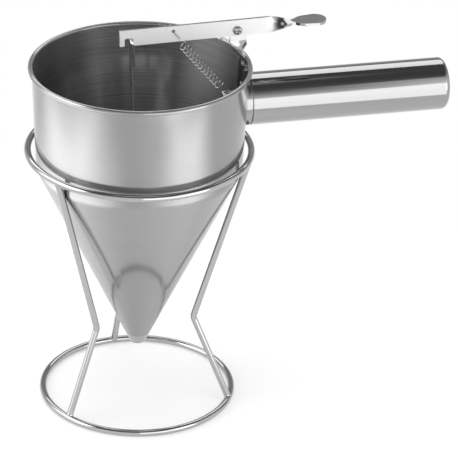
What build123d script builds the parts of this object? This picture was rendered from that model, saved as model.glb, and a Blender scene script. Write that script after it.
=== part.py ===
"""Pancake batter dispenser: a steel funnel with a lever-worked outlet stopper, on a wire stand.

The origin is on the table at the stand's axis, +Z is up and +X runs along the handle.
Every length is in millimetres.
"""
import math
import os

from build123d import *

# ---------------------------------------------------------------- wire stand
RING_WIRE_D = 5.0        # wire of the two closed rings
LEG_WIRE_D = 4.8         # wire of the three legs
BASE_RING_R = 70.0       # base ring, centre of the wire
TOP_RING_OUT = 5.832     # top ring's wire centre, out from the bowl's low radius
TOP_RING_Z = 198.0       # height of the top ring's wire centre
WAIST_R = 42.0           # radius at which each leg kinks outwards again
WAIST_Z = 67.0           # height of that kink
LEG_BEND_R = 7.0         # bend radius of the wire at the kink
LEG_TURN = -27.5         # plan angle of the right leg from the handle, degrees
LEG_STEP = 120.0         # plan angle from one leg to the next, degrees

# ---------------------------------------------------------------- funnel body
BOWL_LOW_OD = 148.6      # outside of the wall where it would meet the cone
SHEET = 1.0              # sheet thickness of the spun body
WALL_DRAFT = 2.0         # lean of the wall from upright, degrees
CONE_ANGLE = 25.4        # half angle of the cone, degrees
SHOULDER_R = 12.0        # outside radius between the wall and the cone
WALL_H = 77.6            # from the wall-to-cone corner to the top of the rim
RIM_CURL_D = 3.6         # outside diameter of the rolled rim
RIM_CURL_END = -98.0     # where the curl's free edge stops, degrees
SEAT_GAP = 0.05          # between the shoulder and each leg at rest

# ---------------------------------------------------------------- outlet nozzle
OUTLET_OD = 10.4         # outside of the nozzle's lower end
OUTLET_BORE = 8.0        # bore that the batter runs through
NOZZLE_SKIRT_H = 8.0     # part of the nozzle that shows below the sheet
NOZZLE_LAP_H = 6.0       # part that sits inside the sheet cone
NOZZLE_LAND = 0.8        # flat land on the nozzle's top edge
NOZZLE_EDGE_R = 1.0      # rounding of the lower outer edge

# ---------------------------------------------------------------- handle
HANDLE_OD = 38.0
HANDLE_WALL = 1.2
HANDLE_DROP = 33.0       # handle axis below the top of the rim
COLLAR_OUT = 4.2         # seam between collar and tube, out from the bowl's low radius
HANDLE_L = 147.5         # that seam to the handle's outer end
SEAM_ROUND = 0.7         # rounding on both sides of that seam
SPIGOT_L = 12.0          # collar spigot inside the tube
SPIGOT_WALL = 2.75
CAP_T = 5.0              # end cap outside the tube
CAP_EDGE_R = 4.2         # rounding of the cap's rim
CAP_SKIRT_L = 8.0        # cap skirt inside the tube
PLUG_GAP = 0.05          # between a spigot or skirt and the tube's bore

# ---------------------------------------------------------------- lever
LEVER_W = 12.0           # width of the strip
LEVER_T = 2.0            # thickness of the strip
PIVOT_IN = 5.3           # pivot in from the bowl's low radius
PIVOT_RISE = 22.6        # pivot above the top of the rim
PIVOT_OFFSET = 1.8       # pivot below the strip's centre line
LEVER_RISE = 1.3         # the thumb end stands higher by this angle, degrees
TAIL_OVER = 8.38         # strip beyond the rod hook's crossing
LEVER_CORNER_R = 0.8
TWIST_SECTIONS = 9       # sections along each quarter twist
TWIST_START = 19.0       # pivot to the start of the quarter twist
TWIST_L = 23.0           # length of the quarter twist
NECK_W = 6.6             # strip width where the twist ends
PAD_L = 23.0             # oval thumb pad, from the twist to its tip
PAD_W = 16.0
PAD_WIDEST = 11.6        # from the twist to the pad's widest point
PAD_FLARE = 1.3          # slope of the pad's edge as it leaves the twist
NOTCH_W = 4.6            # slot that is open at the strip's lower edge
NOTCH_LEFT = 3.6         # strip left of the slot
SPRING_HOLE_X = -46.4    # from the pivot, along the strip
SPRING_HOLE_Z = 2.1      # above the strip's centre line
SPRING_HOLE_D = 2.6
SCREW_D = 4.0
SCREW_HEAD_D = 6.2
SCREW_HEAD_H = 2.2
SCREW_HEAD_ROUND = 1.2
THREAD_CHAMFER = 0.4     # on the screw's end and the nut's corners
RUN_GAP = 0.05           # radial running clearance on the screw
RECESS_W = 1.0           # cross recess: width of each arm
RECESS_L = 3.8           # cross recess: length of each arm
RECESS_DEPTH = 1.3
RECESS_TURN = 12.0       # the screw stopped at this angle, degrees

# ---------------------------------------------------------------- pivot bracket
BRACKET_T = 1.6
BRACKET_W = 12.0         # strip that carries the pivot, also the tab's width
PLATE_W = 18.0           # plate on the funnel's inner wall
PLATE_SHOULDER_R = 5.0   # rounding of the plate's top corners
PLATE_TOP_DROP = 3.2     # top of the plate below the rim's top
TAB_DROP = 30.0          # underside of the spring tab below the rim's top
TAB_IN = 13.7            # inner end of the tab in from the bowl's low radius
TAB_CORNER_R = 2.0
TAB_HOLE_D = 2.6         # spring's hole
TAB_HOLE_IN = 2.3        # spring's hole from the tab's inner end
TAB_HOLE_Y = 3.4
SPARE_HOLE_D = 1.8       # spare hole further along the tab
SPARE_HOLE_IN = 5.0
SPARE_HOLE_Y = 1.6
TWIST_LOW = -1.5         # start of the quarter twist from the rim's top
TWIST_HIGH = 14.0        # end of the quarter twist from the rim's top
CHEEK_OUT = 1.4          # centre of the upright cheek beyond the pivot
CHEEK_TOP = 5.8          # cheek above the pivot
CHEEK_CORNER_R = 4.5
SPACER_T = 0.5           # spacer between the lever and the cheek
SPACER_D = 8.0
SIDE_GAP = 0.05          # lever to spacer, and lever to screw head
NUT_AF = 7.0
NUT_T = 3.2
WASHER_T = 0.8
WASHER_D = 8.0
THREAD_OVER = 1.2        # screw end beyond the nut
RIVET_D = 3.0
RIVET_HEAD_D = 5.2
RIVET_HEAD_H = 0.9
RIVET_ROUND = 0.6        # rounding of the rivet's two heads
RIVET_GAP = 0.05
RIVET_TOP_DROP = 6.2     # upper rivet below the rim's top
RIVET_STEP = 15.8        # upper rivet to lower rivet

# ---------------------------------------------------------------- stopper and its rod
ROD_D = 2.4
HOOK_X = -7.6            # where the rod's hook crosses the lever, from the funnel's axis
HOOK_LOW = 1.6           # the crossing below the strip's centre line
HOOK_BEND_R = 2.0        # centre line radius of the hook's two bends
HOOK_DROP = 19.0         # free end of the hook below the crossing
HOOK_SPLAY = 1.8         # free end towards the handle from the crossing
HOOK_GAP = 0.3           # between the hook and its pocket in the lever
ROD_SIDE_GAP = 0.6       # between the rod and the lever's back
KNEE_H = 7.0             # straight rod above the plug
KNEE_R = 12.0
PLUG_TOP_H = 13.0        # top of the plug's cone above the nozzle's end
PLUG_NECK_H = 7.0        # plain neck above that
PLUG_NECK_D = 6.0
PLUG_SEAT_GAP = 0.3      # between the plug's cone and the nozzle's seat
PLUG_NOSE_D = 7.0        # nose inside the outlet bore
ROD_SOCKET = 9.0         # depth of the rod in the plug
SEAL_D = 1.8             # section of the silicone sealing ring
SEAL_H = 8.0             # ring's centre above the nozzle's end
SEAL_GAP = 0.08          # between the ring and the seat

# ---------------------------------------------------------------- return spring
SPRING_WIRE_D = 0.9
SPRING_OD = 6.5
SPRING_TURNS = 13
SPRING_BEND_R = 1.0      # centre line radius where each hook leaves the coil
HOOK_LEAD = 1.3          # straight wire between the coil and that bend
HOLE_BEND_R = 1.2        # bends of the upper hook through the lever
SPRING_SIDE_GAP = 0.15   # between the upper hook and the lever's faces
SPRING_BEAR = 0.3        # upper hook off its hole's centre, towards the coil
FRONT_TAIL = 7.0         # free end of the upper hook on the lever's face
COIL_TOP = (8.0, -13.4)  # first turn's centre from the lever's hole, in x and z
COIL_LOW = (-4.6, 8.2)   # last turn's centre from the tab's hole, in x and z
LOOP_BULGE = (2.2, 4.6)  # lower hook's outward corner from the tab's hole, in x and z
LOOP_FOOT = (-0.9, -1.6)     # lower hook's corner under the tab
LOOP_TIP = (-3.6, -1.2)      # lower hook's free end
LOOP_R = 3.0
LOOP_FOOT_R = 1.2

# ---------------------------------------------------------------- worked out from the above
DRAFT = math.radians(WALL_DRAFT)
CONE = math.radians(CONE_ANGLE)
TAN_CONE = math.tan(CONE)
COS_CONE = math.cos(CONE)
SHEET_ACROSS = SHEET / COS_CONE          # the cone sheet measured level
LOW_R = BOWL_LOW_OD / 2
TOP_RING_R = LOW_R + TOP_RING_OUT

LEG_ANGLE = math.atan2(TOP_RING_R - WAIST_R, TOP_RING_Z - WAIST_Z)
# The shoulder's arc is tangent to the wall and the cone; its centre from their shared corner:
SHOULDER_OUT = -SHOULDER_R * (math.cos(DRAFT) + COS_CONE) / (1 + math.cos(CONE - DRAFT))
SHOULDER_UP = SHOULDER_R * (math.sin(DRAFT) + math.sin(CONE)) / (1 + math.cos(CONE - DRAFT))
# That arc rests on the sloping legs, which sets how low the funnel sits.
SHOULDER_X = LOW_R + SHOULDER_OUT
REST = SHOULDER_R + LEG_WIRE_D / 2 + SEAT_GAP
SHOULDER_Z = TOP_RING_Z + (REST + (SHOULDER_X - TOP_RING_R) * math.cos(LEG_ANGLE)) / math.sin(LEG_ANGLE)
CORNER_Z = SHOULDER_Z - SHOULDER_UP
RIM_TOP = CORNER_Z + WALL_H
CURL_R = RIM_CURL_D / 2
RIM_Z = RIM_TOP - CURL_R
RIM_X = LOW_R + (RIM_Z - CORNER_Z) * math.tan(DRAFT) + (CURL_R - SHEET) / math.cos(DRAFT)
OUTLET_R = OUTLET_OD / 2
TIP_Z = CORNER_Z - (LOW_R - OUTLET_R) / TAN_CONE

HANDLE_R = HANDLE_OD / 2
HANDLE_BORE_R = HANDLE_R - HANDLE_WALL
HANDLE_Z = RIM_TOP - HANDLE_DROP
COLLAR_FACE_X = LOW_R + COLLAR_OUT
HANDLE_END_X = COLLAR_FACE_X + HANDLE_L
SPIGOT_R = HANDLE_BORE_R - PLUG_GAP

PIVOT_X = LOW_R - PIVOT_IN
PIVOT_Z = RIM_TOP + PIVOT_RISE
HOOK_ALONG = (HOOK_X - PIVOT_X) / math.cos(math.radians(LEVER_RISE))
LEVER_TAIL = TAIL_OVER - HOOK_ALONG
ROD_R = ROD_D / 2
LEVER_BACK_Y = -ROD_R - ROD_SIDE_GAP     # the rod hangs on the axis plane, behind the lever
LEVER_Y = LEVER_BACK_Y - LEVER_T / 2
LEVER_FRONT_Y = LEVER_BACK_Y - LEVER_T
CHEEK_FRONT_Y = LEVER_BACK_Y + SIDE_GAP + SPACER_T
CHEEK_BACK_Y = CHEEK_FRONT_Y + BRACKET_T
CHEEK_X = PIVOT_X + CHEEK_OUT
CHEEK_Y = (CHEEK_FRONT_Y + CHEEK_BACK_Y) / 2
TAB_REACH = LOW_R - TAB_IN
TAB_Z = RIM_TOP - TAB_DROP
TAB_HOLE_X = TAB_REACH + TAB_HOLE_IN
RIVET_LEVELS = (RIM_TOP - RIVET_TOP_DROP, RIM_TOP - RIVET_TOP_DROP - RIVET_STEP)


def cone_r(z):
    """Outside radius of the cone at a height."""
    return LOW_R - (CORNER_Z - z) * TAN_CONE


def wall_r(z, inwards=0.0):
    """Radius of the wall at a height, at a depth inwards from its outer face."""
    return LOW_R + (z - CORNER_Z) * math.tan(DRAFT) - inwards / math.cos(DRAFT)


def lever_point(x, z):
    """A point of the lever, given from its pivot along and across the strip, in the part's frame."""
    turn = math.radians(LEVER_RISE)
    along = x * math.cos(turn) - z * math.sin(turn)
    up = x * math.sin(turn) + z * math.cos(turn)
    return PIVOT_X + along, PIVOT_Z + up


def turned(profile):
    """Revolve a profile of (radius, height) about the funnel's axis."""
    return revolve(Plane.XZ * profile, axis=Axis.Z)


def twist_steps():
    """Shares of the length of a quarter twist, each with the share of the turn made by then."""
    steps = []
    for index in range(TWIST_SECTIONS):
        share = index / (TWIST_SECTIONS - 1)
        steps.append((share, share * share * (3 - 2 * share)))
    return steps


def wire_along(path, radius):
    """Round wire along a path."""
    return sweep(Plane(origin=path @ 0, z_dir=path % 0) * Circle(radius), path=path)


def y_cylinder(x, z, y_low, y_high, radius):
    """A cylinder along Y between two levels."""
    middle = (y_low + y_high) / 2
    return Pos(x, middle, z) * Rot(90, 0, 0) * Cylinder(radius, y_high - y_low)


def x_cylinder(z, x_low, x_high, radius):
    """A cylinder along X on the handle's side of the axis."""
    middle = (x_low + x_high) / 2
    return Pos(middle, 0, z) * Rot(0, 90, 0) * Cylinder(radius, x_high - x_low)


# ---------------------------------------------------------------- stand
def base_ring():
    """Closed wire ring that stands on the table."""
    return Pos(0, 0, RING_WIRE_D / 2) * Torus(BASE_RING_R, RING_WIRE_D / 2)


def top_ring():
    """Closed wire ring round the top of the stand."""
    return Pos(0, 0, TOP_RING_Z) * Torus(TOP_RING_R, RING_WIRE_D / 2)


def leg(angle):
    """Leg wire, kinked at the waist and coped onto both rings."""
    top = (TOP_RING_R, 0, TOP_RING_Z)
    waist = (WAIST_R, 0, WAIST_Z)
    foot = (BASE_RING_R, 0, RING_WIRE_D / 2)
    path = FilletPolyline(top, waist, foot, radius=LEG_BEND_R)
    wire = Rot(0, 0, angle) * wire_along(path, LEG_WIRE_D / 2)
    return wire - top_ring() - base_ring()


# ---------------------------------------------------------------- funnel body
def funnel_profile():
    """Sheet section: cone, shoulder, wall and the rim curled outwards."""
    low_z = TIP_Z + NOZZLE_SKIRT_H
    inner_low_z = low_z + SHEET * math.sin(CONE)

    def shoulder(radius):
        points = []
        for turn in (DRAFT, (DRAFT + CONE) / 2, CONE):
            x = SHOULDER_X + radius * math.cos(turn)
            points.append((x, SHOULDER_Z - radius * math.sin(turn)))
        return points

    def on_curl(radius, degrees):
        turn = math.radians(degrees)
        return RIM_X + radius * math.cos(turn), RIM_Z + radius * math.sin(turn)

    outer = shoulder(SHOULDER_R)
    inner = shoulder(SHOULDER_R - SHEET)
    low_out = (cone_r(low_z), low_z)
    low_in = (cone_r(inner_low_z) - SHEET_ACROSS, inner_low_z)
    curl_start = 180 - WALL_DRAFT
    curl_in = CURL_R - SHEET
    curl_turn = curl_start - RIM_CURL_END
    edges = [
        Line(low_out, outer[2]),
        ThreePointArc(outer[2], outer[1], outer[0]),
        Line(outer[0], on_curl(curl_in, curl_start)),
        CenterArc((RIM_X, RIM_Z), curl_in, curl_start, -curl_turn),
        Line(on_curl(curl_in, RIM_CURL_END), on_curl(CURL_R, RIM_CURL_END)),
        CenterArc((RIM_X, RIM_Z), CURL_R, RIM_CURL_END, curl_turn),
        Line(on_curl(CURL_R, curl_start), inner[0]),
        ThreePointArc(inner[0], inner[1], inner[2]),
        Line(inner[2], low_in),
        Line(low_in, low_out),
    ]
    return make_face(edges)


def wall_band(outer_depth, inner_depth, z_low, z_high):
    """Ring that follows the drafted wall between two depths inwards from its outer face."""
    outline = Polyline(
        (wall_r(z_low, outer_depth), z_low),
        (wall_r(z_high, outer_depth), z_high),
        (wall_r(z_high, inner_depth), z_high),
        (wall_r(z_low, inner_depth), z_low),
        (wall_r(z_low, outer_depth), z_low),
    )
    return turned(make_face(outline))


def funnel_body():
    """Spun funnel with its rolled rim, pierced for the bracket's rivets."""
    body = turned(funnel_profile())
    for level in RIVET_LEVELS:
        body -= x_cylinder(level, SHOULDER_X, COLLAR_FACE_X, RIVET_D / 2 + RIVET_GAP)
    return body


def outlet_nozzle():
    """Turned outlet that laps inside the cone and carries the stopper's seat."""
    lap_z = TIP_Z + NOZZLE_SKIRT_H
    lap_in_z = lap_z + SHEET * math.sin(CONE)
    top_z = lap_in_z + NOZZLE_LAP_H
    lap_in_r = cone_r(lap_in_z) - SHEET_ACROSS
    top_r = cone_r(top_z) - SHEET_ACROSS
    mouth_r = top_r - NOZZLE_LAND
    bore_r = OUTLET_BORE / 2
    throat_z = top_z - (mouth_r - bore_r) / TAN_CONE
    outline = Polyline(
        (bore_r, TIP_Z),
        (OUTLET_R, TIP_Z),
        (cone_r(lap_z), lap_z),
        (lap_in_r, lap_in_z),
        (top_r, top_z),
        (mouth_r, top_z),
        (bore_r, throat_z),
        (bore_r, TIP_Z),
    )
    face = make_face(outline)
    corner = face.vertices().sort_by(Axis.Y)[0:2].sort_by(Axis.X)[-1]
    face = fillet(corner, NOZZLE_EDGE_R)
    return turned(face)


def seat_point(height):
    """Point (radius, z) on the nozzle's conical seat at a height above the nozzle's end."""
    lap_in_z = TIP_Z + NOZZLE_SKIRT_H + SHEET * math.sin(CONE)
    top_z = lap_in_z + NOZZLE_LAP_H
    mouth_r = cone_r(top_z) - SHEET_ACROSS - NOZZLE_LAND
    z = TIP_Z + height
    return mouth_r - (top_z - z) * TAN_CONE, z


# ---------------------------------------------------------------- handle
def handle_collar():
    """Collar welded to the wall, with the spigot that the tube slides onto."""
    ring = x_cylinder(HANDLE_Z, SHOULDER_X, COLLAR_FACE_X, HANDLE_R)
    ring = fillet(ring.edges().sort_by(Axis.X)[-1], SEAM_ROUND)
    ring += x_cylinder(HANDLE_Z, COLLAR_FACE_X, COLLAR_FACE_X + SPIGOT_L, SPIGOT_R)
    ring -= x_cylinder(HANDLE_Z, 0, HANDLE_END_X, SPIGOT_R - SPIGOT_WALL)
    return ring - wall_band(0, LOW_R / 2, HANDLE_Z - HANDLE_OD, HANDLE_Z + HANDLE_OD)


def handle_tube():
    """Round tube handle."""
    end = HANDLE_END_X - CAP_T
    tube = x_cylinder(HANDLE_Z, COLLAR_FACE_X, end, HANDLE_R)
    tube = fillet(tube.edges().sort_by(Axis.X)[0], SEAM_ROUND)
    return tube - x_cylinder(HANDLE_Z, COLLAR_FACE_X, end, HANDLE_BORE_R)


def handle_end_cap():
    """Pressed cap that closes the tube, with a skirt inside it."""
    start = HANDLE_END_X - CAP_T
    disc = x_cylinder(HANDLE_Z, start, HANDLE_END_X, HANDLE_R)
    disc = fillet(disc.edges().sort_by(Axis.X)[-1], CAP_EDGE_R)
    skirt = x_cylinder(HANDLE_Z, start - CAP_SKIRT_L, start, SPIGOT_R)
    hollow_end = HANDLE_END_X - 2 * HANDLE_WALL
    hollow = x_cylinder(HANDLE_Z, start - CAP_SKIRT_L, hollow_end, SPIGOT_R - HANDLE_WALL)
    return disc + skirt - hollow


# ---------------------------------------------------------------- lever
def lever_twist():
    """Quarter twist from the upright strip to the flat neck."""
    sections = []
    for share, ease in twist_steps():
        along = TWIST_START + TWIST_L * share
        plane = Plane(origin=(along, 0, PIVOT_OFFSET), x_dir=(0, 1, 0), z_dir=(1, 0, 0))
        width = LEVER_W + (NECK_W - LEVER_W) * ease
        sections.append(plane * Rot(0, 0, -90 * ease) * Rectangle(LEVER_T, width))
    return loft(sections)


def lever_pad():
    """Flat oval thumb pad that the neck flares into."""
    start = TWIST_START + TWIST_L
    half_w = PAD_W / 2
    middle = start + PAD_WIDEST
    edges = [
        Line((start, -NECK_W / 2), (start, NECK_W / 2)),
        Spline((start, NECK_W / 2), (middle, half_w), tangents=((1, PAD_FLARE), (1, 0))),
        ThreePointArc((middle, half_w), (start + PAD_L, 0), (middle, -half_w)),
        Spline((middle, -half_w), (start, -NECK_W / 2), tangents=((-1, 0), (-1, PAD_FLARE))),
    ]
    return Pos(0, 0, PIVOT_OFFSET - LEVER_T / 2) * extrude(make_face(edges), LEVER_T)


def hook_in_lever():
    """The rod hook's crossing, from the pivot along and across the strip."""
    return HOOK_ALONG, PIVOT_OFFSET - HOOK_LOW


def lever_bar():
    """Upright strip with the hook's slot and pocket, the spring hole and the screw hole."""
    length = LEVER_TAIL + TWIST_START
    outline = Pos(TWIST_START - length / 2, PIVOT_OFFSET) * Rectangle(length, LEVER_W)
    outline = fillet(outline.vertices().group_by(Axis.X)[0], LEVER_CORNER_R)
    hook_x, hook_z = hook_in_lever()
    pocket_r = ROD_R + HOOK_GAP
    slot_x = -LEVER_TAIL + NOTCH_LEFT + NOTCH_W / 2
    slot_low = PIVOT_OFFSET - LEVER_W
    slot_h = hook_z + pocket_r - slot_low
    slot = Pos(slot_x, slot_low + slot_h / 2) * Rectangle(NOTCH_W, slot_h)
    slot = fillet(slot.vertices().group_by(Axis.Y)[-1], pocket_r)
    throat = Pos((slot_x + hook_x) / 2, hook_z) * Rectangle(hook_x - slot_x, 2 * pocket_r)
    outline -= slot
    outline -= throat
    outline -= Pos(hook_x, hook_z) * Circle(pocket_r)
    outline -= Pos(SPRING_HOLE_X, PIVOT_OFFSET + SPRING_HOLE_Z) * Circle(SPRING_HOLE_D / 2)
    outline -= Circle(SCREW_D / 2 + RUN_GAP)
    return extrude(Plane.XZ * outline, LEVER_T / 2, both=True)


def lever():
    """One strip: bar, quarter twist and thumb pad."""
    strip = lever_bar() + lever_twist() + lever_pad()
    return Pos(PIVOT_X, LEVER_Y, PIVOT_Z) * Rot(0, -LEVER_RISE, 0) * strip


# ---------------------------------------------------------------- pivot hardware
def pivot_screw():
    """Cross-recess pan head screw that the lever turns on."""
    head_back = LEVER_FRONT_Y - SIDE_GAP
    head_front = head_back - SCREW_HEAD_H
    nut_back = CHEEK_BACK_Y + WASHER_T + NUT_T
    head = y_cylinder(PIVOT_X, PIVOT_Z, head_front, head_back, SCREW_HEAD_D / 2)
    head = fillet(head.edges().sort_by(Axis.Y)[0], SCREW_HEAD_ROUND)
    shank = y_cylinder(PIVOT_X, PIVOT_Z, head_back, nut_back + THREAD_OVER, SCREW_D / 2)
    shank = chamfer(shank.edges().sort_by(Axis.Y)[-1], THREAD_CHAMFER)
    screw = head + shank
    for turn in (0, 90):
        arm = Pos(PIVOT_X, head_front + RECESS_DEPTH / 2, PIVOT_Z) * Rot(0, turn + RECESS_TURN, 0)
        screw -= arm * Box(RECESS_L, RECESS_DEPTH, RECESS_W)
    return screw


def pivot_spacer():
    """Thin spacer that holds the lever off the bracket's cheek."""
    disc = y_cylinder(PIVOT_X, PIVOT_Z, CHEEK_FRONT_Y - SPACER_T, CHEEK_FRONT_Y, SPACER_D / 2)
    hole = y_cylinder(PIVOT_X, PIVOT_Z, CHEEK_FRONT_Y - SPACER_T, CHEEK_FRONT_Y, SCREW_D / 2 + RUN_GAP)
    return disc - hole


def pivot_washer():
    """Washer between the cheek and the nut."""
    disc = y_cylinder(PIVOT_X, PIVOT_Z, CHEEK_BACK_Y, CHEEK_BACK_Y + WASHER_T, WASHER_D / 2)
    hole = y_cylinder(PIVOT_X, PIVOT_Z, CHEEK_BACK_Y, CHEEK_BACK_Y + WASHER_T, SCREW_D / 2 + RUN_GAP)
    return disc - hole


def pivot_nut():
    """Hexagon nut behind the cheek."""
    front = CHEEK_BACK_Y + WASHER_T
    hexagon = RegularPolygon(NUT_AF / 2, 6, major_radius=False)
    nut = extrude(Plane.XZ * hexagon, -NUT_T)
    nut = Pos(PIVOT_X, front, PIVOT_Z) * nut
    corners = y_cylinder(PIVOT_X, PIVOT_Z, front, front + NUT_T, NUT_AF / 2 + THREAD_CHAMFER)
    nut &= chamfer(corners.edges().sort_by(Axis.Y)[-1], THREAD_CHAMFER)
    return nut - y_cylinder(PIVOT_X, PIVOT_Z, front, front + NUT_T, SCREW_D / 2)


# ---------------------------------------------------------------- bracket
def bracket_plate():
    """Plate that follows the inner wall, with rounded shoulders and a narrower neck."""
    plate_h = TAB_DROP - PLATE_TOP_DROP
    neck_h = TAB_DROP + TWIST_LOW
    plate = Pos(0, TAB_Z + plate_h / 2) * Rectangle(PLATE_W, plate_h)
    plate = fillet(plate.vertices().group_by(Axis.Y)[-1], PLATE_SHOULDER_R)
    outline = plate + Pos(0, TAB_Z + neck_h / 2) * Rectangle(BRACKET_W, neck_h)
    band = wall_band(SHEET, SHEET + BRACKET_T, TAB_Z, TAB_Z + neck_h)
    return band & extrude(Plane.YZ * outline, BOWL_LOW_OD)


def bracket_tab():
    """Foot bent inwards from the plate, with the spring's hole and a spare one."""
    middle = TAB_Z + BRACKET_T / 2
    end = wall_r(middle, SHEET + BRACKET_T / 2)
    outline = Pos((TAB_REACH + end) / 2, 0) * Rectangle(end - TAB_REACH, BRACKET_W)
    outline = fillet(outline.vertices().group_by(Axis.X)[0], TAB_CORNER_R)
    outline -= Pos(TAB_HOLE_X, TAB_HOLE_Y) * Circle(TAB_HOLE_D / 2)
    outline -= Pos(TAB_REACH + SPARE_HOLE_IN, SPARE_HOLE_Y) * Circle(SPARE_HOLE_D / 2)
    tab = Pos(0, 0, TAB_Z) * extrude(outline, BRACKET_T)
    return tab - wall_band(-SHEET, SHEET + BRACKET_T / 2, TAB_Z - SHEET, TAB_Z + TAB_DROP)


def bracket_twist():
    """Quarter twist from the wall plate's neck to the upright cheek."""
    low_z = RIM_TOP + TWIST_LOW
    high_z = RIM_TOP + TWIST_HIGH
    low_x = math.sqrt(wall_r(low_z, SHEET) ** 2 - (BRACKET_W / 2) ** 2) - BRACKET_T / 2
    sections = []
    for share, ease in twist_steps():
        x = low_x + (CHEEK_X - low_x) * ease
        plane = Plane(origin=(x, CHEEK_Y * ease, low_z + (high_z - low_z) * share), z_dir=(0, 0, 1))
        sections.append(plane * Rot(0, 0, 90 - 90 * ease) * Rectangle(BRACKET_W, BRACKET_T))
    return loft(sections)


def bracket_cheek():
    """Upright cheek, rounded over the pivot."""
    low_z = RIM_TOP + TWIST_HIGH
    high_z = PIVOT_Z + CHEEK_TOP
    outline = Pos(CHEEK_X, (low_z + high_z) / 2) * Rectangle(BRACKET_W, high_z - low_z)
    outline = fillet(outline.vertices().group_by(Axis.Y)[-1], CHEEK_CORNER_R)
    outline -= Pos(PIVOT_X, PIVOT_Z) * Circle(SCREW_D / 2 + RUN_GAP)
    cheek = extrude(Plane.XZ * outline, BRACKET_T / 2, both=True)
    return Pos(0, CHEEK_Y, 0) * cheek


def pivot_bracket():
    """One folded and twisted strip: spring tab, wall plate and pivot cheek."""
    bracket = bracket_plate() + bracket_tab() + bracket_twist() + bracket_cheek()
    for level in RIVET_LEVELS:
        bracket -= x_cylinder(level, SHOULDER_X, COLLAR_FACE_X, RIVET_D / 2 + RIVET_GAP)
    return bracket


def bracket_rivets():
    """Two rivets through the plate and the funnel's wall."""
    rivets = []
    for level in RIVET_LEVELS:
        low = level - RIVET_HEAD_D
        high = level + RIVET_HEAD_D
        inner = wall_r(level, SHEET + BRACKET_T)
        outer = wall_r(level)
        shank = x_cylinder(level, inner - RIVET_HEAD_H / 2, outer + RIVET_HEAD_H / 2, RIVET_D / 2)
        head = x_cylinder(level, inner - RIVET_HEAD_H, outer, RIVET_HEAD_D / 2)
        head = fillet(head.edges().sort_by(Axis.X)[0], RIVET_ROUND)
        tail = x_cylinder(level, inner, outer + RIVET_HEAD_H, RIVET_HEAD_D / 2)
        tail = fillet(tail.edges().sort_by(Axis.X)[-1], RIVET_ROUND)
        head -= wall_band(-SHEET, SHEET + BRACKET_T, low, high)
        tail -= wall_band(0, 2 * SHEET + 2 * BRACKET_T, low, high)
        rivets.append(shank + head + tail)
    return Compound(children=rivets)


# ---------------------------------------------------------------- stopper
def hook_point():
    """The hook's crossing in the part's frame."""
    return lever_point(*hook_in_lever())


def stopper_rod():
    """Wire rod: socketed in the plug, hooked through the lever at the top."""
    hook_x, hook_z = hook_point()
    low_z = TIP_Z + PLUG_TOP_H + PLUG_NECK_H - ROD_SOCKET
    knee_z = low_z + ROD_SOCKET + KNEE_H
    front_y = 2 * LEVER_Y
    path = FilletPolyline(
        (0, 0, low_z),
        (0, 0, knee_z),
        (hook_x, 0, hook_z),
        (hook_x, front_y, hook_z),
        (hook_x + HOOK_SPLAY, front_y, hook_z - HOOK_DROP),
        radius=(KNEE_R, HOOK_BEND_R, HOOK_BEND_R),
    )
    return wire_along(path, ROD_R)


def stopper_seal():
    """Silicone sealing ring that bears on the seat."""
    seat_r, seat_z = seat_point(SEAL_H)
    inward = SEAL_D / 2 + SEAL_GAP
    ring_z = seat_z + inward * math.sin(CONE)
    return Pos(0, 0, ring_z) * Torus(seat_r - inward * COS_CONE, SEAL_D / 2)


def stopper_plug():
    """Turned plug whose cone follows the nozzle's seat, grooved for the sealing ring."""
    gap_across = PLUG_SEAT_GAP / COS_CONE
    top_r, top_z = seat_point(PLUG_TOP_H)
    top_r -= gap_across
    nose_r = PLUG_NOSE_D / 2
    nose_z = top_z - (top_r - nose_r) / TAN_CONE
    neck_z = top_z + PLUG_NECK_H
    outline = Polyline(
        (0, TIP_Z),
        (nose_r, TIP_Z),
        (nose_r, nose_z),
        (top_r, top_z),
        (PLUG_NECK_D / 2, top_z),
        (PLUG_NECK_D / 2, neck_z),
        (0, neck_z),
        (0, TIP_Z),
    )
    plug = turned(make_face(outline))
    plug -= stopper_seal()
    socket = Pos(0, 0, neck_z - ROD_SOCKET / 2) * Cylinder(ROD_R, ROD_SOCKET)
    return plug - socket


# ---------------------------------------------------------------- spring
def spring_frame():
    """The coil's two end centres and the sideways direction in which its hooks leave it."""
    hole_x, hole_z = lever_point(SPRING_HOLE_X, PIVOT_OFFSET + SPRING_HOLE_Z)
    wire_r = SPRING_WIRE_D / 2
    back_y = LEVER_BACK_Y + SPRING_SIDE_GAP + wire_r
    lead = SPRING_BEND_R + HOOK_LEAD
    top = Vector(hole_x + COIL_TOP[0], back_y + lead, hole_z + COIL_TOP[1])
    low = Vector(TAB_HOLE_X + COIL_LOW[0], TAB_HOLE_Y - lead, TAB_Z + COIL_LOW[1])
    axis = (low - top).normalized()
    side = axis.cross(Vector(0, 1, 0)).normalized()
    return top, low, side


def spring_coil():
    """Helical part of the spring."""
    top, low, side = spring_frame()
    length = (low - top).length
    radius = (SPRING_OD - SPRING_WIRE_D) / 2
    frame = Plane(origin=top, x_dir=side, z_dir=(low - top).normalized())
    return frame * Helix(length / SPRING_TURNS, length, radius, lefthand=True)


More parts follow.
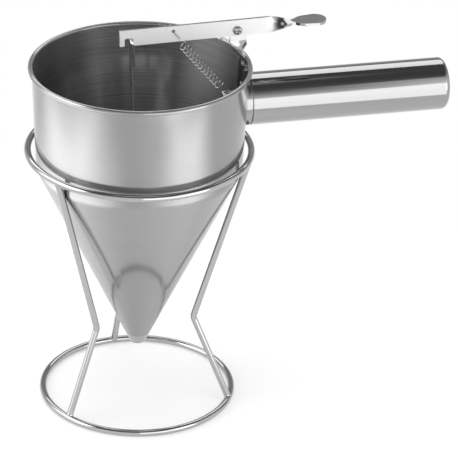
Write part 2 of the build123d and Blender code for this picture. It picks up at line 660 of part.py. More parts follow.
def return_spring():
    """Extension spring from the lever down to the bracket's tab, with a hook at each end."""
    coil = spring_coil()
    wire_r = SPRING_WIRE_D / 2
    lead = SPRING_BEND_R + HOOK_LEAD
    hole_x, hole_z = lever_point(SPRING_HOLE_X, PIVOT_OFFSET + SPRING_HOLE_Z)
    start = coil @ 0
    start_dir = coil % 0
    leave = start - start_dir * lead
    toward = Vector(leave.X - hole_x, 0, leave.Z - hole_z).normalized()
    bear = Vector(hole_x, 0, hole_z) + toward * SPRING_BEAR
    back = Vector(bear.X, leave.Y, bear.Z)
    front = Vector(bear.X, LEVER_FRONT_Y - SPRING_SIDE_GAP - wire_r, bear.Z)
    upper = FilletPolyline(
        start,
        leave,
        back,
        front,
        front + toward * FRONT_TAIL,
        radius=(SPRING_BEND_R, HOLE_BEND_R, HOLE_BEND_R),
    )
    end = coil @ 1
    arrive = end + (coil % 1) * lead
    corners = []
    for offset in (LOOP_BULGE, LOOP_FOOT, LOOP_TIP):
        corners.append(Vector(TAB_HOLE_X + offset[0], arrive.Y, TAB_Z + offset[1]))
    lower = FilletPolyline(end, arrive, *corners, radius=(SPRING_BEND_R, LOOP_R, LOOP_FOOT_R))
    coil_wire = sweep(Plane(origin=start, z_dir=start_dir) * Circle(wire_r), path=coil, is_frenet=True)
    return coil_wire + wire_along(upper, wire_r) + wire_along(lower, wire_r)


def parts():
    """Every sub-part by its node's name."""
    return {
        "stand_base_ring": base_ring(),
        "stand_top_ring": top_ring(),
        "stand_leg_right": leg(LEG_TURN),
        "stand_leg_rear": leg(LEG_TURN + LEG_STEP),
        "stand_leg_left": leg(LEG_TURN + 2 * LEG_STEP),
        "funnel_body": funnel_body(),
        "outlet_nozzle": outlet_nozzle(),
        "handle_collar": handle_collar(),
        "handle_tube": handle_tube(),
        "handle_end_cap": handle_end_cap(),
        "pivot_bracket": pivot_bracket(),
        "bracket_rivets": bracket_rivets(),
        "pivot_spacer": pivot_spacer(),
        "pivot_screw": pivot_screw(),
        "pivot_washer": pivot_washer(),
        "pivot_nut": pivot_nut(),
        "lever": lever(),
        "stopper_rod": stopper_rod(),
        "stopper_plug": stopper_plug(),
        "stopper_seal": stopper_seal(),
        "return_spring": return_spring(),
    }


if __name__ == "__main__":
    os.makedirs("parts", exist_ok=True)
    for name, shape in parts().items():
        export_step(shape, f"parts/{name}.step")
    print(f"rim top {RIM_TOP:.3f}  corner {CORNER_Z:.3f}  tip {TIP_Z:.3f}  handle {HANDLE_Z:.3f}")
    print(f"pivot {PIVOT_X:.3f}, {PIVOT_Z:.3f}  hook {hook_point()}  rim radius {RIM_X + CURL_R:.3f}")
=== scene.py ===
"""Pancake batter dispenser: steel finishes, welds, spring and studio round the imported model.

All lengths are in metres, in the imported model's frame: +Z is up and +X runs along the handle.
"""
import math

import bpy
from mathutils import Matrix, Vector


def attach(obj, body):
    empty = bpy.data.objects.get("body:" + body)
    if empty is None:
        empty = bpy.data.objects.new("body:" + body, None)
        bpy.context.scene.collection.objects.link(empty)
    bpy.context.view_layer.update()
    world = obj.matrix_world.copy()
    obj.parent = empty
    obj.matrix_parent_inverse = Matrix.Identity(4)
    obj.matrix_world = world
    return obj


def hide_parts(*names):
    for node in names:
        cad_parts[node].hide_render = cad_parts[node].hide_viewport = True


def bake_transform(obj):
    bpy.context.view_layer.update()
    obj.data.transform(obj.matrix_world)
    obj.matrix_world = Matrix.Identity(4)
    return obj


bl_info = {
    "name": "Batter dispenser",
    "version": (1, 0, 0),
    "blender": (4, 5, 0),
    "location": "3D View > Sidebar > Dispenser",
    "description": "Steel finishes, weld beads, return spring and studio of a batter dispenser on its stand",
    "category": "Object",
}

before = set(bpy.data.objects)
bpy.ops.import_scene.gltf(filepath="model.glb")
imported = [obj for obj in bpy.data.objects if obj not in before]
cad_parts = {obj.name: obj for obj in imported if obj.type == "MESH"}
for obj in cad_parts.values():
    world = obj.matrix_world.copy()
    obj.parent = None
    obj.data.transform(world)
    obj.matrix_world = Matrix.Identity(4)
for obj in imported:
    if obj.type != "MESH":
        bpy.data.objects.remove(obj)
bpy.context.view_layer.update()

# Direction from the object to the camera, in plan, and the direction to the camera's right.
TO_CAMERA = Vector((-0.2494, -0.9684, 0.0))
TO_RIGHT = Vector((0.9684, -0.2494, 0.0))
# The camera's place, its heading, downward tilt and lean in degrees, and its lens in millimetres.
CAMERA_PLACE = (-0.4068, -1.8425, 1.1082)
CAMERA_HEADING = 75.56
CAMERA_DROP = 27.3
CAMERA_ROLL = 1.52
CAMERA_LENS = 229.76

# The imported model's own sizes, which the added pieces follow. Turns and the wall's lean are in degrees.
LEG_TURNS = {"right": -27.5, "rear": 92.5, "left": 212.5}
TOP_RING_RADIUS = 0.08013
TOP_RING_HEIGHT = 0.198
BASE_RING_RADIUS = 0.070
BASE_RING_HEIGHT = 0.0025
WAIST_RADIUS = 0.042
WAIST_HEIGHT = 0.067
HANDLE_AXIS_Z = 0.230463
HANDLE_RADIUS = 0.019
WALL_RADIUS = 0.0743
WALL_FOOT_Z = 0.185863
WALL_LEAN = 2.0

# Light panels: turn from the camera's direction in degrees, distance, lowest and highest edge, width,
# radiance, and the share of each half side, across and up, over which they fade.
PANELS = {
    "front": (36, 0.52, -0.01, 0.43, 0.66, 1.25, (0.15, 0.2)),
    "rear": (183, 1.02, 0.79, 2.05, 1.8, 1.8, (0.1, 0.04)),
    "left": (-83, 1.2, 0.50, 1.60, 1.6, 4.4, (0.5, 0.3)),
    "left low": (-83, 1.2, 0.0, 0.60, 1.6, 1.3, (0.5, 0.3)),
    "right": (54, 1.2, 0.50, 1.50, 0.7, 0.5, (0.5, 0.3)),
    "right low": (58, 1.2, 0.0, 0.60, 0.7, 1.4, (0.5, 0.3)),
    "left rear": (-130, 1.2, 0.30, 1.30, 0.8, 0.5, (0.5, 0.3)),
}
# Light sheets that lie on the floor and face up, the same but for the distances of their two edges.
# They light the funnel's brushed sheet alone.
SHEETS = {
    "left sheet": (-75, 0.12, 0.58, 0.90, 1.8, (0.75, 0.65)),
    "right sheet": (52, 0.24, 0.56, 0.56, 1.3, (0.84, 0.5)),
}
# Colour of the surroundings by elevation in degrees, in front of the object and behind it.
SKY = {
    "front": ((0, 1.1), (12, 1.1), (20, 1.05), (26, 0.85), (33, 0.6), (42, 0.31), (52, 0.14), (62, 0.1),
              (74, 0.1), (81, 0.9), (90, 0.9)),
    "rear": ((0, 0.5), (15, 0.45), (24, 0.34), (33, 0.28), (45, 0.18), (58, 0.1), (74, 0.1), (81, 0.9),
             (90, 0.9)),
}
# The front's colours hold below the first Y of the direction looked in, and the rear's above the second.
SKY_FRONT = -0.2
SKY_REAR = 0.3
SHEET_HEIGHT = 0.0004
# Distances from the axis over which the floor's painted glow rises to plain white, and its own radius.
FLOOR_NEAR = 0.05
FLOOR_FAR = 0.45
FLOOR_RADIUS = 7.0
CEILING_SIZE = 2.2
CEILING_HEIGHT = 2.4

# Sizes of the added pieces.
MERGE_WITHIN = 0.000001
EDGE_ROUND = 0.00025
EDGE_ANGLE = 35.0
SMOOTH_ANGLE = 40.0
WELD_IN = 0.0022
WELD_RADIUS = 0.0027
WELD_LENGTH = 0.0042
WELD_LUMPS = 0.00008
SEAM_BEAD = 0.0005
SEAM_POINTS = 96

# Scale and detail of the noises in the steel's grain.
GRAIN = {"coarse": (1.0, 3.0), "fine": (3.7, 2.0), "cloud": (28.0, 4.0), "smudge": (75.0, 2.0)}
# Along X, the lever's matt face ends at the first and its polished tail begins at the second.
MATT_END = 0.092
POLISH_START = 0.097
MATT_ROUGHNESS = 0.5
MATT_METALLIC = 0.25
# Size of a normal's Y above which a face is flat, and below which it is an edge.
FLAT_ABOVE = 0.97
EDGE_BELOW = 0.85


def colour(name, description, grey, tint=0.0):
    """A colour property that starts as a grey, a little warmer where tint is above 0."""
    return bpy.props.FloatVectorProperty(
        name=name, description=description, subtype="COLOR", size=3, min=0.0, max=1.0,
        default=(grey + tint, grey, grey - tint))


class DispenserSteel(bpy.types.PropertyGroup):
    """Colours and roughness of the steel finishes."""

    sheet: colour("Sheet", "Spun and brushed sheet of the funnel", 0.18)
    tube: colour("Tube", "Polished tube of the handle", 0.37)
    wire: colour("Wire", "Polished wire of the stand, and the turned nozzle and plug", 0.45)
    rod: colour("Rod", "Drawn wire of the stopper's rod", 0.80)
    face: colour("Lever face", "Matt face of the lever's flat part", 0.67)
    strip: colour("Strip", "Polished strip of the lever and the bracket", 0.42)
    fastener: colour("Fasteners", "Screw, nut, washer, spacer and rivets", 0.26)
    spring: colour("Spring", "Bright drawn wire of the spring", 0.36)
    seal: colour("Seal", "Silicone of the plug's sealing ring", 0.60, 0.02)
    sheet_roughness: bpy.props.FloatProperty(
        name="Sheet roughness", description="Roughness of the brushed sheet", default=0.45, min=0.0, max=1.0)
    tube_roughness: bpy.props.FloatProperty(
        name="Tube roughness", description="Roughness of the polished tube", default=0.09, min=0.0, max=1.0)
    wire_roughness: bpy.props.FloatProperty(
        name="Wire roughness", description="Roughness of the polished wire", default=0.08, min=0.0, max=1.0)


class DispenserStudio(bpy.types.PropertyGroup):
    """Floor and light."""

    floor: colour("Floor", "Paper that the stand is on", 0.75)
    floor_glow: bpy.props.FloatProperty(
        name="Floor fill", default=0.51, min=0.0, max=1.0, subtype="FACTOR",
        description="Share of plain white in the floor under the stand, which lightens the shadow")
    panel: bpy.props.FloatProperty(
        name="Panels", description="Level of all the light panels and sheets", default=1.0, min=0.0)
    ceiling: bpy.props.FloatProperty(
        name="Ceiling", description="Light overhead, on matt surfaces only", default=4.1, min=0.0)


def steel_settings():
    return bpy.context.scene.dispenser_steel


def studio_settings():
    return bpy.context.scene.dispenser_studio


# ---------------------------------------------------------------- shader nodes
def put(tree, value, target):
    """Links an output to an input, or sets the input to a plain value."""
    if isinstance(value, bpy.types.NodeSocket):
        tree.links.new(value, target)
    else:
        target.default_value = value


def maths(tree, operation, *values):
    """Output of a maths node on numbers or outputs."""
    node = tree.nodes.new("ShaderNodeMath")
    node.operation = operation
    for index, value in enumerate(values):
        put(tree, value, node.inputs[index])
    return node.outputs[0]


def ranged(tree, value, first, last, low=0.0, high=1.0, change="SMOOTHSTEP"):
    """Output of a node that takes first to low and last to high."""
    node = tree.nodes.new("ShaderNodeMapRange")
    node.interpolation_type = change
    given = {"Value": value, "From Min": first, "From Max": last, "To Min": low, "To Max": high}
    for name, item in given.items():
        put(tree, item, node.inputs[name])
    return node.outputs[0]


def mixed(tree, kind, factor, first, second):
    """Output of a mix node of a data type: first at factor 0 and second at factor 1."""
    node = tree.nodes.new("ShaderNodeMix")
    node.data_type = kind
    given = {"Factor": factor, "A": first, "B": second}
    for item in node.inputs:
        if item.enabled and item.name in given:
            put(tree, given[item.name], item)
    return [item for item in node.outputs if item.enabled][0]


def split_axes(tree, vector):
    """The X, Y and Z outputs of a vector."""
    node = tree.nodes.new("ShaderNodeSeparateXYZ")
    tree.links.new(vector, node.inputs[0])
    return node.outputs


# ---------------------------------------------------------------- finishes
def steel_grain_group():
    """Fine brushing lines, broad clouds and faint smudges, given a stretched coordinate and a plain one."""
    tree = bpy.data.node_groups.get("steel grain")
    if tree:
        return tree
    tree = bpy.data.node_groups.new("steel grain", "ShaderNodeTree")
    sockets = {
        "INPUT": {"Lines Vector": "Vector", "Plain Vector": "Vector", "Colour": "Color", "Roughness": "Float",
                  "Line Contrast": "Float", "Cloud Contrast": "Float"},
        "OUTPUT": {"Colour": "Color", "Roughness": "Float", "Height": "Float"},
    }
    for way, kinds in sockets.items():
        for name, kind in kinds.items():
            tree.interface.new_socket(name=name, in_out=way, socket_type="NodeSocket" + kind)
    nodes, links = tree.nodes, tree.links
    inputs = nodes.new("NodeGroupInput")
    outputs = nodes.new("NodeGroupOutput")

    def noise(name, vector):
        node = nodes.new("ShaderNodeTexNoise")
        node.inputs["Scale"].default_value, node.inputs["Detail"].default_value = GRAIN[name]
        node.inputs["Roughness"].default_value = 0.6
        links.new(inputs.outputs[vector], node.inputs["Vector"])
        return node.outputs["Fac"]

    def sums(operation, first, second):
        return maths(tree, operation, first, second)

    coarse = noise("coarse", "Lines Vector")
    fine = noise("fine", "Lines Vector")
    lines = sums("ADD", sums("MULTIPLY", coarse, 0.6), sums("MULTIPLY", fine, 0.4))
    cloud = noise("cloud", "Plain Vector")
    smudge = noise("smudge", "Plain Vector")
    line_part = sums("MULTIPLY", sums("SUBTRACT", lines, 0.5), inputs.outputs["Line Contrast"])
    cloud_part = sums("MULTIPLY", sums("SUBTRACT", cloud, 0.5), inputs.outputs["Cloud Contrast"])
    value = sums("ADD", sums("ADD", 1.0, sums("MULTIPLY", line_part, 2.0)), cloud_part)
    tint = nodes.new("ShaderNodeVectorMath")
    tint.operation = "SCALE"
    links.new(inputs.outputs["Colour"], tint.inputs[0])
    links.new(value, tint.inputs["Scale"])
    links.new(tint.outputs[0], outputs.inputs["Colour"])
    rough = sums("ADD", 1.0, sums("MULTIPLY", line_part, -1.5))
    rough = sums("ADD", rough, sums("MULTIPLY", sums("SUBTRACT", smudge, 0.5), 0.25))
    rough = sums("MULTIPLY", rough, inputs.outputs["Roughness"])
    links.new(rough, outputs.inputs["Roughness"])
    links.new(lines, outputs.inputs["Height"])
    return tree


def steel_material(name, grey, roughness, lines, contrast=0.12, cloud=0.10, relief=0.00002, gloss=None,
                   stretch=0.0, stretch_turn=0.0, metallic=1.0, inside=None):
    """Steel with its brushing lines drawn out by the lines scale, one factor for each axis.

    inside is the line contrast of faces that face the Z axis and a factor on their colour, which paints them
    lighter: painted light on the bowl's inside.
    """
    material = bpy.data.materials.new(name)
    material.use_nodes = True
    tree = material.node_tree
    nodes, links = tree.nodes, tree.links
    shader = nodes["Principled BSDF"]
    place = nodes.new("ShaderNodeTexCoord")
    mapping = nodes.new("ShaderNodeMapping")
    mapping.inputs["Scale"].default_value = lines
    links.new(place.outputs["Object"], mapping.inputs["Vector"])
    grain = nodes.new("ShaderNodeGroup")
    grain.node_tree = steel_grain_group()
    links.new(mapping.outputs[0], grain.inputs["Lines Vector"])
    links.new(place.outputs["Object"], grain.inputs["Plain Vector"])
    grain.inputs["Colour"].default_value = (*grey, 1.0)
    grain.inputs["Roughness"].default_value = roughness
    grain.inputs["Line Contrast"].default_value = contrast
    grain.inputs["Cloud Contrast"].default_value = cloud
    if inside:
        level = nodes.new("ShaderNodeVectorMath")
        level.operation = "MULTIPLY"
        level.inputs[1].default_value = (1.0, 1.0, 0.0)
        links.new(place.outputs["Object"], level.inputs[0])
        outwards = nodes.new("ShaderNodeVectorMath")
        outwards.operation = "DOT_PRODUCT"
        links.new(level.outputs[0], outwards.inputs[0])
        links.new(place.outputs["Normal"], outwards.inputs[1])
        # Inner faces get more brushing-line contrast, and their colour raised by a factor: painted light on
        # the bowl's inside.
        values = {"Line Contrast": (inside[0], contrast), "Colour": (inside[1] * grey[0], grey[0])}
        for field, (here, there) in values.items():
            side = ranged(tree, outwards.outputs["Value"], -0.01, 0.0, here, there, "LINEAR")
            links.new(side, grain.inputs[field])
    links.new(grain.outputs["Colour"], shader.inputs["Base Color"])
    links.new(grain.outputs["Roughness"], shader.inputs["Roughness"])
    shader.inputs["Metallic"].default_value = metallic
    if gloss:
        shader.inputs["Coat Weight"].default_value = 1.0
        shader.inputs["Coat IOR"].default_value, shader.inputs["Coat Roughness"].default_value = gloss
    bump = nodes.new("ShaderNodeBump")
    bump.inputs["Strength"].default_value = 1.0
    bump.inputs["Distance"].default_value = relief
    links.new(grain.outputs["Height"], bump.inputs["Height"])
    links.new(bump.outputs[0], shader.inputs["Normal"])
    if stretch:
        shader.inputs["Anisotropic"].default_value = stretch
        shader.inputs["Anisotropic Rotation"].default_value = stretch_turn
        tangent = nodes.new("ShaderNodeTangent")
        tangent.direction_type = "RADIAL"
        tangent.axis = "Z"
        links.new(tangent.outputs[0], shader.inputs["Tangent"])
    return material


def matt_flats(material, matt):
    """Gives the faces across Y the matt values, but not the polished tail or the edges."""
    tree = material.node_tree
    shader = tree.nodes["Principled BSDF"]
    place = tree.nodes.new("ShaderNodeTexCoord")
    tail = ranged(tree, split_axes(tree, place.outputs["Object"])["X"], MATT_END, POLISH_START)
    across = maths(tree, "ABSOLUTE", split_axes(tree, place.outputs["Normal"])["Y"])
    own = maths(tree, "MAXIMUM", tail, ranged(tree, across, FLAT_ABOVE, EDGE_BELOW))
    for name, value in matt.items():
        target = shader.inputs[name]
        steel = target.links[0].from_socket if target.is_linked else target.default_value
        kind = "RGBA" if name == "Base Color" else "FLOAT"
        tree.links.new(mixed(tree, kind, own, value, steel), target)


class DISPENSER_OT_finishes(bpy.types.Operator):
    """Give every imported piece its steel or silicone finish"""

    bl_idname = "dispenser.finishes"
    bl_label = "Finishes"

    def execute(self, context):
        look = steel_settings()
        # The sheet's inner faces get a colour 1.35 times lighter: painted light on the bowl's inside.
        sheet = steel_material("brushed sheet", look.sheet, look.sheet_roughness, (8, 8, 1100),
                               contrast=0.08, cloud=0.05, relief=0.000002, gloss=(2.7, 0.09),
                               stretch=0.9, stretch_turn=0.25, inside=(0.8, 1.35))
        tube = steel_material("polished tube", look.tube, look.tube_roughness, (30, 900, 900),
                              contrast=0.05, cloud=0.05, relief=0.000004)
        wire = steel_material("polished wire", look.wire, look.wire_roughness, (300, 300, 300),
                              contrast=0.06, cloud=0.06, relief=0.000004)
        rod = steel_material("drawn rod", look.rod, 0.14, (900, 900, 60),
                             contrast=0.08, cloud=0.06, relief=0.000004)
        strip = steel_material("satin strip", look.strip, 0.12, (40, 900, 900),
                               contrast=0.05, cloud=0.05, relief=0.000002)
        bracket = steel_material("bracket strip", look.strip, 0.15, (900, 900, 40),
                                 contrast=0.05, cloud=0.05, relief=0.000002)
        matt = {"Base Color": (*look.face, 1.0), "Roughness": MATT_ROUGHNESS, "Metallic": MATT_METALLIC}
        matt_flats(strip, matt)
        turned = steel_material("turned steel", look.wire, 0.22, (60, 60, 2600), contrast=0.10)
        fastener = steel_material("fastener steel", look.fastener, 0.24, (900, 900, 900), contrast=0.12)
        spring = steel_material("spring wire", look.spring, 0.16, (900, 900, 900), contrast=0.06)
        seal = steel_material("silicone", look.seal, 0.55, (900, 900, 900), contrast=0.05, metallic=0.0)
        wearing = {
            sheet: ["funnel_body"],
            tube: ["handle_collar", "handle_tube", "handle_end_cap"],
            wire: ["stand_base_ring", "stand_top_ring", "stand_leg_right", "stand_leg_rear",
                   "stand_leg_left"],
            rod: ["stopper_rod"],
            strip: ["lever"],
            bracket: ["pivot_bracket"],
            turned: ["outlet_nozzle", "stopper_plug"],
            fastener: ["bracket_rivets", "pivot_screw", "pivot_spacer", "pivot_washer", "pivot_nut"],
            spring: ["return_spring"],
            seal: ["stopper_seal"],
        }
        for material, names in wearing.items():
            for name in names:
                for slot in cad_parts[name].material_slots:
                    slot.material = material
        return {"FINISHED"}


# ---------------------------------------------------------------- pieces
def only(item):
    """Makes one object the selected and active one."""
    bpy.ops.object.select_all(action="DESELECT")
    item.select_set(True)
    bpy.context.view_layer.objects.active = item


def joined_copy(node, name):
    """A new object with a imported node's mesh, its loose triangles merged into one skin."""
    item = bpy.data.objects.new(name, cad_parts[node].data.copy())
    bpy.context.scene.collection.objects.link(item)
    only(item)
    bpy.ops.mesh.customdata_custom_splitnormals_clear()
    bpy.ops.object.mode_set(mode="EDIT")
    bpy.ops.mesh.select_all(action="SELECT")
    bpy.ops.mesh.remove_doubles(threshold=MERGE_WITHIN)
    bpy.ops.object.mode_set(mode="OBJECT")
    return item


def wear(item, material, body=None):
    """Finishes a piece: its material in one slot, and the body that it rides on."""
    item.data.materials.clear()
    item.data.materials.append(material)
    if body:
        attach(item, body)


class DISPENSER_OT_spring(bpy.types.Operator):
    """Make the return spring, which stretches between the tab and the lever"""

    bl_idname = "dispenser.spring"
    bl_label = "Return spring"

    def execute(self, context):
        item = joined_copy("return_spring", "return_spring_wire")
        bpy.ops.object.shade_smooth_by_angle(angle=math.radians(SMOOTH_ANGLE))
        wear(item, bpy.data.materials["spring wire"])
        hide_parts("return_spring")
        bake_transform(item)
        return {"FINISHED"}


def softened(node, name):
    """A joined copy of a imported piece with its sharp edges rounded."""
    item = joined_copy(node, name)
    bpy.ops.object.mode_set(mode="EDIT")
    bpy.ops.mesh.select_all(action="SELECT")
    bpy.ops.mesh.dissolve_limited(angle_limit=math.radians(0.5))
    bpy.ops.object.mode_set(mode="OBJECT")
    modifier = item.modifiers.new("edges", "BEVEL")
    modifier.width = EDGE_ROUND
    modifier.segments = 3
    modifier.limit_method = "ANGLE"
    modifier.angle_limit = math.radians(EDGE_ANGLE)
    bpy.ops.object.modifier_apply(modifier="edges")
    bpy.ops.object.shade_smooth_by_angle(angle=math.radians(SMOOTH_ANGLE))
    shading = item.modifiers.new("shading", "WEIGHTED_NORMAL")
    shading.weight = 100
    shading.keep_sharp = True
    bpy.ops.object.modifier_apply(modifier="shading")
    return item


class DISPENSER_OT_strips(bpy.types.Operator):
    """Round the pressed edges of the lever and the pivot bracket"""

    bl_idname = "dispenser.strips"
    bl_label = "Lever and bracket"

    def execute(self, context):
        strips = (("lever", "lever", "satin strip"), ("pivot_bracket", "funnel", "bracket strip"))
        for node, body, steel in strips:
            item = softened(node, node + "_strip")
            wear(item, bpy.data.materials[steel], body)
            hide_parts(node)
        return {"FINISHED"}


def bead(name, place, along, radius, length):
    """A small lump of weld metal round a wire, centred on place and drawn out along a direction."""
    bpy.ops.mesh.primitive_uv_sphere_add(segments=24, ring_count=12, radius=1.0)
    item = bpy.context.object
    item.name = name
    turn = Vector(along).to_track_quat("Z", "Y").to_matrix().to_4x4()
    size = Matrix.Diagonal((radius, radius, length / 2, 1.0))
    item.data.transform(Matrix.Translation(place) @ turn @ size)
    only(item)
    bpy.ops.object.mode_set(mode="EDIT")
    bpy.ops.mesh.select_all(action="SELECT")
    bpy.ops.transform.vertex_random(offset=WELD_LUMPS, uniform=0.5, seed=len(name))
    bpy.ops.mesh.vertices_smooth(factor=0.5, repeat=1)
    bpy.ops.object.mode_set(mode="OBJECT")
    bpy.ops.object.shade_smooth()
    return item


class DISPENSER_OT_welds(bpy.types.Operator):
    """Put weld metal where the legs meet the rings and where the handle meets the wall"""

    bl_idname = "dispenser.welds"
    bl_label = "Weld beads"

    def execute(self, context):
        steel = bpy.data.materials["polished wire"]
        for name, angle in LEG_TURNS.items():
            out = Vector((math.cos(math.radians(angle)), math.sin(math.radians(angle)), 0.0))
            top = out * TOP_RING_RADIUS + Vector((0, 0, TOP_RING_HEIGHT))
            waist = out * WAIST_RADIUS + Vector((0, 0, WAIST_HEIGHT))
            foot = out * BASE_RING_RADIUS + Vector((0, 0, BASE_RING_HEIGHT))
            for end, ring in (("top", top), ("foot", foot)):
                along = (waist - ring).normalized()
                item = bead(f"weld_{name}_{end}", ring + along * WELD_IN, along, WELD_RADIUS, WELD_LENGTH)
                wear(item, steel, "stand")
        self.handle_seam()
        return {"FINISHED"}

    def handle_seam(self):
        """The thin bead round the collar, which follows the wall."""
        curve = bpy.data.curves.new("handle seam", "CURVE")
        curve.dimensions = "3D"
        curve.bevel_depth = SEAM_BEAD
        curve.bevel_resolution = 3
        spline = curve.splines.new("POLY")
        spline.points.add(SEAM_POINTS - 1)
        for index, point in enumerate(spline.points):
            turn = 2 * math.pi * index / SEAM_POINTS
            level = HANDLE_AXIS_Z + HANDLE_RADIUS * math.sin(turn)
            aside = HANDLE_RADIUS * math.cos(turn)
            wall = WALL_RADIUS + (level - WALL_FOOT_Z) * math.tan(math.radians(WALL_LEAN))
            point.co = (math.sqrt(wall * wall - aside * aside), aside, level, 1.0)
        spline.use_cyclic_u = True
        item = bpy.data.objects.new("handle_seam_bead", curve)
        bpy.context.scene.collection.objects.link(item)
        only(item)
        bpy.ops.object.convert(target="MESH")
        item = bpy.context.object
        bpy.ops.object.mode_set(mode="EDIT")
        bpy.ops.mesh.select_all(action="SELECT")
        bpy.ops.mesh.normals_make_consistent(inside=False)
        bpy.ops.object.mode_set(mode="OBJECT")
        bpy.ops.object.shade_smooth()
        wear(item, bpy.data.materials["polished tube"], "funnel")


# ---------------------------------------------------------------- studio
def towards(angle):
    """Level direction at an angle to the right of the camera's, in degrees, as seen from the object."""
    turn = math.radians(angle)
    return TO_CAMERA * math.cos(turn) + TO_RIGHT * math.sin(turn)


def light_sheet(name, width, height, radiance, edge):
    """Area light with its radiance in the middle, fading over a share of each half side."""
    lamp = bpy.data.lights.new(name, "AREA")
    lamp.shape = "RECTANGLE"
    lamp.size = width
    lamp.size_y = height
    lamp.energy = math.pi * width * height
    lamp.use_nodes = True
    tree = lamp.node_tree
    place = tree.nodes.new("ShaderNodeNewGeometry")
    along = split_axes(tree, place.outputs["Parametric"])
    strength = radiance
    for axis, fade in zip("XY", edge):
        out = maths(tree, "ABSOLUTE", maths(tree, "SUBTRACT", along[axis], 0.5))
        strength = maths(tree, "MULTIPLY", strength, ranged(tree, out, 0.5, 0.5 - 0.5 * fade))
    tree.links.new(strength, tree.nodes["Emission"].inputs["Strength"])
    item = bpy.data.objects.new(name, lamp)
    bpy.context.scene.collection.objects.link(item)
    item.visible_camera = False
    return item


def upright(name, turn, away, low, high, width, radiance, edge):
    """Light panel that stands at a distance and faces the axis."""
    item = light_sheet(name, width, high - low, radiance, edge)
    item.location = towards(turn) * away + Vector((0, 0, (low + high) / 2))
    item.rotation_euler = (-towards(turn)).to_track_quat("-Z", "Y").to_euler()


def lying(name, lit, turn, near, far, width, radiance, edge):
    """Light sheet just above the floor, between two distances, that faces up and lights one collection."""
    item = light_sheet(name, width, far - near, radiance, edge)
    item.light_linking.receiver_collection = lit
    place = Matrix.Translation(towards(turn) * (near + far) / 2 + Vector((0, 0, SHEET_HEIGHT)))
    item.matrix_world = place @ Matrix((towards(turn + 90), towards(turn), (0, 0, -1))).transposed().to_4x4()


def ceiling(look):
    """Light overhead that only matt surfaces show."""
    lamp = bpy.data.lights.new("ceiling", "AREA")
    lamp.size = CEILING_SIZE
    lamp.energy = look.ceiling * math.pi * CEILING_SIZE ** 2
    item = bpy.data.objects.new("ceiling", lamp)
    bpy.context.scene.collection.objects.link(item)
    item.location = (0, 0, CEILING_HEIGHT)
    item.visible_camera = False
    item.visible_glossy = False


def sky():
    """World colour by the direction looked in, pale at the horizon and straight up and dark between.

    It is dimmer behind the object. The camera itself sees plain white.
    """
    world = bpy.data.worlds.new("studio")
    bpy.context.scene.world = world
    world.use_nodes = True
    tree = world.node_tree
    place = tree.nodes.new("ShaderNodeTexCoord")
    looking = split_axes(tree, place.outputs["Generated"])
    sides = []
    for levels in (SKY["front"], SKY["rear"]):
        ramp = tree.nodes.new("ShaderNodeValToRGB")
        tree.links.new(looking["Z"], ramp.inputs["Fac"])
        stops = ramp.color_ramp.elements
        while len(stops) > 1:
            stops.remove(stops[-1])
        stops[0].position = 0.0
        for index, (elevation, grey) in enumerate(levels):
            stop = stops.new(math.sin(math.radians(elevation))) if index else stops[0]
            stop.color = (grey, grey, grey, 1)
        sides.append(ramp.outputs[0])
    around = mixed(tree, "RGBA", ranged(tree, looking["Y"], SKY_FRONT, SKY_REAR), *sides)
    path = tree.nodes.new("ShaderNodeLightPath")
    shown = mixed(tree, "RGBA", path.outputs["Is Camera Ray"], around, (1, 1, 1, 1))
    tree.links.new(shown, tree.nodes["Background"].inputs["Color"])


def floor_material(look):
    """Pale paper, part plain white to the camera and in reflections, so that its shadow stays light.

    The share of plain white, a painted glow, rises away from the stand, up to all of it, so the floor round
    the stand is painted darker than far off.
    """
    material = bpy.data.materials.new("studio paper")
    material.use_nodes = True
    tree = material.node_tree
    nodes, links = tree.nodes, tree.links
    nodes.clear()
    out = nodes.new("ShaderNodeOutputMaterial")
    matt = nodes.new("ShaderNodeBsdfDiffuse")
    matt.inputs["Color"].default_value = (*look.floor, 1)
    white = nodes.new("ShaderNodeEmission")
    path = nodes.new("ShaderNodeLightPath")
    seen = path.outputs["Is Camera Ray"]
    for ray in ("Is Glossy Ray", "Is Transmission Ray"):
        seen = maths(tree, "MAXIMUM", seen, path.outputs[ray])
    place = nodes.new("ShaderNodeTexCoord")
    distance = nodes.new("ShaderNodeVectorMath")
    distance.operation = "LENGTH"
    links.new(place.outputs["Object"], distance.inputs[0])
    # Painted glow: weaker near the stand, which darkens the floor round it, and plain white far off.
    painted_glow_share = ranged(tree, distance.outputs["Value"], FLOOR_NEAR, FLOOR_FAR, look.floor_glow, 1.0)
    mix = nodes.new("ShaderNodeMixShader")
    links.new(maths(tree, "MULTIPLY", seen, painted_glow_share), mix.inputs[0])
    links.new(matt.outputs[0], mix.inputs[1])
    links.new(white.outputs[0], mix.inputs[2])
    links.new(mix.outputs[0], out.inputs["Surface"])
    return material


def camera():
    """Camera above the object and a little to the left of square on to the handle, leaning slightly."""
    heading, drop, roll = (math.radians(angle) for angle in (CAMERA_HEADING, CAMERA_DROP, CAMERA_ROLL))
    ahead = math.cos(drop)
    forward = Vector((math.cos(heading) * ahead, math.sin(heading) * ahead, -math.sin(drop)))
    level = Vector((math.sin(heading), -math.cos(heading), 0))
    rise = level.cross(forward)
    right = level * math.cos(roll) + rise * math.sin(roll)
    above = rise * math.cos(roll) - level * math.sin(roll)
    data = bpy.data.cameras.new("camera")
    data.sensor_width = 36.0
    data.lens = CAMERA_LENS
    data.clip_end = 50.0
    item = bpy.data.objects.new("camera", data)
    bpy.context.scene.collection.objects.link(item)
    turn = Matrix((right, above, -forward)).transposed().to_4x4()
    item.matrix_world = Matrix.Translation(CAMERA_PLACE) @ turn
    bpy.context.scene.camera = item


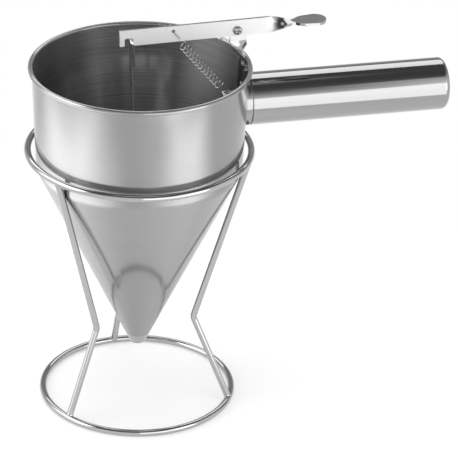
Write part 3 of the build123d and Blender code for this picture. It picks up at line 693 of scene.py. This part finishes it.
class DISPENSER_OT_studio(bpy.types.Operator):
    """Build the floor, the light and the camera"""

    bl_idname = "dispenser.studio"
    bl_label = "Studio"

    def execute(self, context):
        look = studio_settings()
        context.scene.view_settings.view_transform = "Standard"
        bpy.ops.mesh.primitive_circle_add(
            vertices=96, radius=FLOOR_RADIUS, fill_type="NGON", location=(0, 0, 0))
        floor = context.object
        floor.name = "studio_floor"
        floor.data.materials.append(floor_material(look))
        for name, (turn, away, low, high, width, radiance, edge) in PANELS.items():
            upright(name, turn, away, low, high, width, radiance * look.panel, edge)
        lit = bpy.data.collections.new("lit by the sheets")
        lit.objects.link(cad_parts["funnel_body"])
        for name, (turn, near, far, width, radiance, edge) in SHEETS.items():
            lying(name, lit, turn, near, far, width, radiance * look.panel, edge)
        ceiling(look)
        sky()
        camera()
        return {"FINISHED"}


# ---------------------------------------------------------------- add-on
class DISPENSER_PT_panel(bpy.types.Panel):
    """Sidebar panel with the dispenser's finishes, studio and steps"""

    bl_idname = "DISPENSER_PT_panel"
    bl_label = "Batter dispenser"
    bl_space_type = "VIEW_3D"
    bl_region_type = "UI"
    bl_category = "Dispenser"

    def draw(self, context):
        for settings in (steel_settings(), studio_settings()):
            column = self.layout.column()
            for name in type(settings).__annotations__:
                column.prop(settings, name)
        for operator in OPERATORS:
            self.layout.operator(operator.bl_idname)


OPERATORS = (DISPENSER_OT_finishes, DISPENSER_OT_spring, DISPENSER_OT_strips, DISPENSER_OT_welds,
             DISPENSER_OT_studio)
CLASSES = (DispenserSteel, DispenserStudio, *OPERATORS, DISPENSER_PT_panel)


def register():
    for item in CLASSES:
        bpy.utils.register_class(item)
    bpy.types.Scene.dispenser_steel = bpy.props.PointerProperty(type=DispenserSteel)
    bpy.types.Scene.dispenser_studio = bpy.props.PointerProperty(type=DispenserStudio)


def unregister():
    del bpy.types.Scene.dispenser_studio
    del bpy.types.Scene.dispenser_steel
    for item in reversed(CLASSES):
        bpy.utils.unregister_class(item)


def main():
    """Builds everything in order."""
    register()
    bpy.ops.object.select_all(action="DESELECT")
    bpy.ops.dispenser.finishes()
    bpy.ops.dispenser.spring()
    bpy.ops.dispenser.strips()
    bpy.ops.dispenser.welds()
    bpy.ops.dispenser.studio()


if __name__ == "__main__":
    main()
